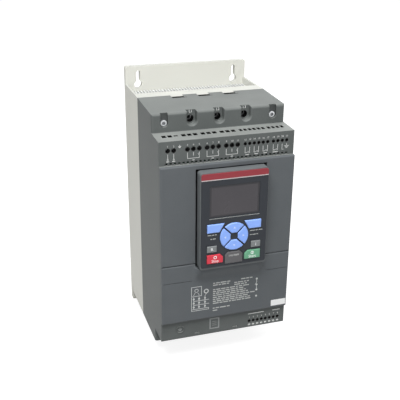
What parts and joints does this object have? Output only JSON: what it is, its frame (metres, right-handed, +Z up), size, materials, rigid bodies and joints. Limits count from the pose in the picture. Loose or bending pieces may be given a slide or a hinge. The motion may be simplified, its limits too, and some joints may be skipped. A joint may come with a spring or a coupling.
{
  "type": "soft starter",
  "caption": "Wall-mounted soft starter for three-phase motors: white base with keyhole flange, dark stepped housing with terminal rows, and a pull-off keypad with display and push keys.",
  "frame": {"origin": "middle of the mounting plate's back face, where it meets the wall", "axes": "+X to the viewer's right, +Y into the wall, +Z up"},
  "size_m": [0.15, 0.1792, 0.314],
  "materials": {
    "white_plastic": "light texture",
    "graphite_plastic": "fine spark texture",
    "cover_plastic": "fine spark texture",
    "black_plastic": "plain",
    "terminal_plastic": "plain",
    "heatsink": "extruded",
    "steel": "zinc plated",
    "copper": "bare copper bar",
    "circuit_board": "solder resist",
    "keypad_plastic": "printed film",
    "display": "clear, smoked",
    "blue_key": "smooth",
    "grey_key": "smooth",
    "red_key": "smooth",
    "green_key": "smooth",
    "dark_key": "smooth"
  },
  "bodies": {
    "starter": {"base_chassis": "white_plastic", "heatsink": "heatsink", "fan_tray": "graphite_plastic", "fan_frame_left": "black_plastic", "fan_frame_right": "black_plastic", "thyristor_module_1": "black_plastic", "thyristor_module_2": "black_plastic", "thyristor_module_3": "black_plastic", "bypass_relay_1": "terminal_plastic", "bypass_relay_2": "terminal_plastic", "bypass_relay_3": "terminal_plastic", "current_transformer_1": "black_plastic", "current_transformer_2": "black_plastic", "current_transformer_3": "black_plastic", "line_busbar_1": "copper", "line_busbar_2": "copper", "line_busbar_3": "copper", "load_busbar_1": "copper", "load_busbar_2": "copper", "load_busbar_3": "copper", "line_clamp_1": "steel", "line_clamp_2": "steel", "line_clamp_3": "steel", "load_clamp_1": "steel", "load_clamp_2": "steel", "load_clamp_3": "steel", "clamp_screws": "steel", "power_screws": "steel", "power_board": "circuit_board", "control_board": "circuit_board", "board_screws": "steel", "panel_socket": "black_plastic", "relay_terminals": "terminal_plastic", "signal_terminals": "terminal_plastic", "lower_terminals": "terminal_plastic", "terminal_screws": "steel", "front_housing": "graphite_plastic", "housing_screws": "steel", "upper_cover": "cover_plastic", "lower_cover": "cover_plastic", "blank_label": "white_plastic"},
    "keypad": {"keypad_case": "black_plastic", "keypad_bezel": "keypad_plastic", "keypad_overlay": "keypad_plastic", "display_window": "display", "display_module": "steel", "keypad_board": "circuit_board"},
    "fan_rotor_left": {"fan_rotor_left": "black_plastic"},
    "fan_rotor_right": {"fan_rotor_right": "black_plastic"},
    "soft_left_key": {"soft_left_key": "blue_key"},
    "soft_right_key": {"soft_right_key": "blue_key"},
    "remote_key": {"remote_key": "grey_key"},
    "info_key": {"info_key": "grey_key"},
    "stop_key": {"stop_key": "red_key"},
    "middle_key": {"middle_key": "dark_key"},
    "start_key": {"start_key": "green_key"},
    "nav_up_key": {"nav_up_key": "blue_key"},
    "nav_left_key": {"nav_left_key": "blue_key"},
    "nav_down_key": {"nav_down_key": "blue_key"},
    "nav_right_key": {"nav_right_key": "blue_key"}
  },
  "joints": [
    {"name": "keypad_pull", "type": "slide", "parent": "starter", "child": "keypad", "axis": [0, -1, 0], "range_m": [0, 0.03]},
    {"name": "fan_left_spin", "type": "hinge", "parent": "starter", "child": "fan_rotor_left", "pos_m": [-0.03625, -0.029, -0.13], "axis": [0, 0, 1], "continuous": true},
    {"name": "fan_right_spin", "type": "hinge", "parent": "starter", "child": "fan_rotor_right", "pos_m": [0.03625, -0.029, -0.13], "axis": [0, 0, 1], "continuous": true},
    {"name": "soft_left_key_press", "type": "slide", "parent": "keypad", "child": "soft_left_key", "axis": [0, 1, 0], "range_m": [0, 0.0008], "stiffness_N_per_m": 800, "springref_m": -0.0005},
    {"name": "soft_right_key_press", "type": "slide", "parent": "keypad", "child": "soft_right_key", "axis": [0, 1, 0], "range_m": [0, 0.0008], "stiffness_N_per_m": 800, "springref_m": -0.0005},
    {"name": "remote_key_press", "type": "slide", "parent": "keypad", "child": "remote_key", "axis": [0, 1, 0], "range_m": [0, 0.0008], "stiffness_N_per_m": 800, "springref_m": -0.0005},
    {"name": "info_key_press", "type": "slide", "parent": "keypad", "child": "info_key", "axis": [0, 1, 0], "range_m": [0, 0.0008], "stiffness_N_per_m": 800, "springref_m": -0.0005},
    {"name": "stop_key_press", "type": "slide", "parent": "keypad", "child": "stop_key", "axis": [0, 1, 0], "range_m": [0, 0.0008], "stiffness_N_per_m": 800, "springref_m": -0.0005},
    {"name": "middle_key_press", "type": "slide", "parent": "keypad", "child": "middle_key", "axis": [0, 1, 0], "range_m": [0, 0.0008], "stiffness_N_per_m": 800, "springref_m": -0.0005},
    {"name": "start_key_press", "type": "slide", "parent": "keypad", "child": "start_key", "axis": [0, 1, 0], "range_m": [0, 0.0008], "stiffness_N_per_m": 800, "springref_m": -0.0005},
    {"name": "nav_up_key_press", "type": "slide", "parent": "keypad", "child": "nav_up_key", "axis": [0, 1, 0], "range_m": [0, 0.0008], "stiffness_N_per_m": 800, "springref_m": -0.0005},
    {"name": "nav_left_key_press", "type": "slide", "parent": "keypad", "child": "nav_left_key", "axis": [0, 1, 0], "range_m": [0, 0.0008], "stiffness_N_per_m": 800, "springref_m": -0.0005},
    {"name": "nav_down_key_press", "type": "slide", "parent": "keypad", "child": "nav_down_key", "axis": [0, 1, 0], "range_m": [0, 0.0008], "stiffness_N_per_m": 800, "springref_m": -0.0005},
    {"name": "nav_right_key_press", "type": "slide", "parent": "keypad", "child": "nav_right_key", "axis": [0, 1, 0], "range_m": [0, 0.0008], "stiffness_N_per_m": 800, "springref_m": -0.0005}
  ]
}
